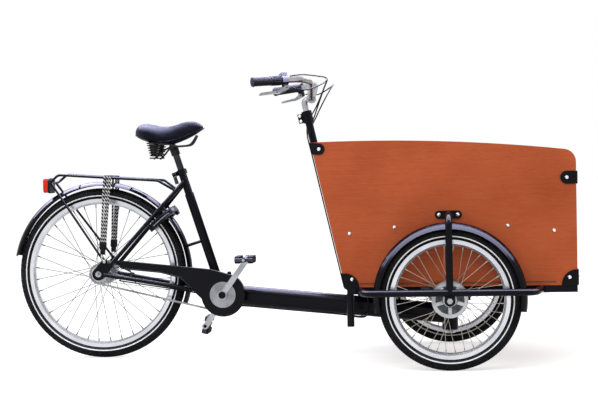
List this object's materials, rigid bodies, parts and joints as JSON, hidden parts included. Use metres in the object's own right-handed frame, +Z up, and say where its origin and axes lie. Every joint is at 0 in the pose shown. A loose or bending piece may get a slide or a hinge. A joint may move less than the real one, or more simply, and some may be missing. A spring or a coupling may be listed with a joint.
{
  "type": "cargo tricycle",
  "caption": "Pedal cargo bicycle with a plywood load box between steered front wheels on a pivoting chassis, and a rear frame with saddle, crank drive, chain case, carrier and ring lock.",
  "frame": {"origin": "on the ground under the middle of the overall length and width", "axes": "+X the way it rides, +Y to the rider's left, +Z up"},
  "size_m": [2.1194, 0.888, 1.0589],
  "materials": {
    "black_paint": "gloss black paint",
    "plywood": "orange-brown varnished plywood",
    "floor_ply": "dark varnished plywood",
    "bright_steel": "bright zinc",
    "dark_steel": "dark grey steel",
    "alloy": "satin alloy",
    "bronze": "bearing bronze",
    "tyre": "black rubber",
    "grip_rubber": "matte rubber",
    "black_plastic": "black plastic",
    "lamp": "red lens and black case",
    "strap": "black and white elastic webbing",
    "saddle_vinyl": "black vinyl"
  },
  "bodies": {
    "rear_frame": {"main_beam": "black_paint", "seat_tube": "black_paint", "seat_stays": "black_paint", "chain_stays": "black_paint", "bearings": "bronze", "chain_case": "black_plastic", "chain": "dark_steel", "rear_mudguard": "black_paint", "rear_rack": "black_paint", "tail_lamp": "lamp", "carrier_straps": "strap", "ring_lock": "black_plastic", "seat_clamp": "alloy", "frame_cables": "black_plastic", "rear_axle": "bright_steel", "rear_brake": "dark_steel"},
    "lock_shackle": {"lock_shackle": "bright_steel"},
    "clamp_lever": {"clamp_lever": "black_plastic"},
    "rear_wheel": {"rear_tyre": "tyre", "rear_rim": "alloy", "rear_hub": "alloy"},
    "rear_sprocket": {"rear_sprocket": "dark_steel"},
    "crankset": {"crank_spindle": "dark_steel", "chainring": "dark_steel", "right_crank": "alloy", "left_crank": "alloy", "crank_cover": "alloy"},
    "right_pedal": {"right_pedal": "black_plastic"},
    "left_pedal": {"left_pedal": "black_plastic"},
    "seat": {"seat_post": "dark_steel", "saddle": "saddle_vinyl", "saddle_springs": "dark_steel"},
    "front_carriage": {"chassis_frame": "black_paint", "kingpin": "dark_steel", "box_sides": "plywood", "box_front": "plywood", "box_rear": "plywood", "box_floor": "floor_ply", "benches": "plywood", "corner_brackets": "black_paint", "box_bolts": "bright_steel", "wheel_guards": "black_paint", "front_mudguards": "black_paint", "front_axles": "bright_steel", "front_brakes": "dark_steel", "handlebar_post": "black_paint", "stem": "alloy", "handlebar": "alloy", "grips": "grip_rubber", "control_mounts": "black_plastic", "control_cables": "black_plastic"},
    "right_lever": {"right_lever": "alloy"},
    "left_lever": {"left_lever": "alloy"},
    "gear_twist": {"gear_twist": "grip_rubber"},
    "right_wheel": {"right_tyre": "tyre", "right_rim": "alloy", "right_hub": "alloy"},
    "left_wheel": {"left_tyre": "tyre", "left_rim": "alloy", "left_hub": "alloy"}
  },
  "joints": [
    {"name": "steering", "type": "hinge", "parent": "rear_frame", "child": "front_carriage", "pos_m": [0.60772, 0, 0.16], "axis": [0, 0, 1], "range_deg": [-33, 33], "deforming": ["frame_cables"]},
    {"name": "crank_spin", "type": "hinge", "parent": "rear_frame", "child": "crankset", "pos_m": [-0.23927, 0, 0.244], "axis": [0, 1, 0], "continuous": true, "deforming": ["chain"]},
    {"name": "sprocket_spin", "type": "hinge", "parent": "rear_frame", "child": "rear_sprocket", "pos_m": [-0.71727, 0, 0.3265], "axis": [0, 1, 0], "continuous": true, "deforming": ["chain"]},
    {"name": "rear_wheel_spin", "type": "hinge", "parent": "rear_frame", "child": "rear_wheel", "pos_m": [-0.71727, 0, 0.3265], "axis": [0, 1, 0], "continuous": true},
    {"name": "right_wheel_spin", "type": "hinge", "parent": "front_carriage", "child": "right_wheel", "pos_m": [0.60772, -0.37, 0.2485], "axis": [0, 1, 0], "continuous": true},
    {"name": "left_wheel_spin", "type": "hinge", "parent": "front_carriage", "child": "left_wheel", "pos_m": [0.60772, 0.37, 0.2485], "axis": [0, 1, 0], "continuous": true},
    {"name": "right_pedal_spin", "type": "hinge", "parent": "crankset", "child": "right_pedal", "pos_m": [-0.13935, 0, 0.38153], "axis": [0, 1, 0], "continuous": true},
    {"name": "left_pedal_spin", "type": "hinge", "parent": "crankset", "child": "left_pedal", "pos_m": [-0.3392, 0, 0.10647], "axis": [0, 1, 0], "continuous": true},
    {"name": "seat_height", "type": "slide", "parent": "rear_frame", "child": "seat", "axis": [-0.3007, 0, 0.9537], "range_m": [-0.035, 0.1]},
    {"name": "right_brake_lever", "type": "hinge", "parent": "front_carriage", "child": "right_lever", "pos_m": [0.03691, -0.24657, 1.00111], "axis": [-0.5335, 0.8027, -0.2667], "range_deg": [0, 12], "stiffness_Nm_per_rad": 2, "springref_deg": -17.19},
    {"name": "left_brake_lever", "type": "hinge", "parent": "front_carriage", "child": "left_lever", "pos_m": [0.0411, 0.24368, 1.00144], "axis": [0.5335, 0.8027, 0.2667], "range_deg": [0, 12], "stiffness_Nm_per_rad": 2, "springref_deg": -17.19},
    {"name": "gear_shift", "type": "hinge", "parent": "front_carriage", "child": "gear_twist", "pos_m": [0.00358, -0.25984, 1.02785], "axis": [0.8213, 0.567, 0.0636], "range_deg": [-70, 70]},
    {"name": "lock_close", "type": "hinge", "parent": "rear_frame", "child": "lock_shackle", "pos_m": [-0.47792, 0, 0.52734], "axis": [0.6428, 0, -0.766], "range_deg": [0, 82]},
    {"name": "clamp_open", "type": "hinge", "parent": "rear_frame", "child": "clamp_lever", "pos_m": [-0.42612, -0.018, 0.69909], "axis": [-0.9537, 0, -0.3007], "range_deg": [0, 90]}
  ],
  "couplings": [
    {"joint": "sprocket_spin", "follows": "crank_spin", "ratio": 1.8333}
  ]
}
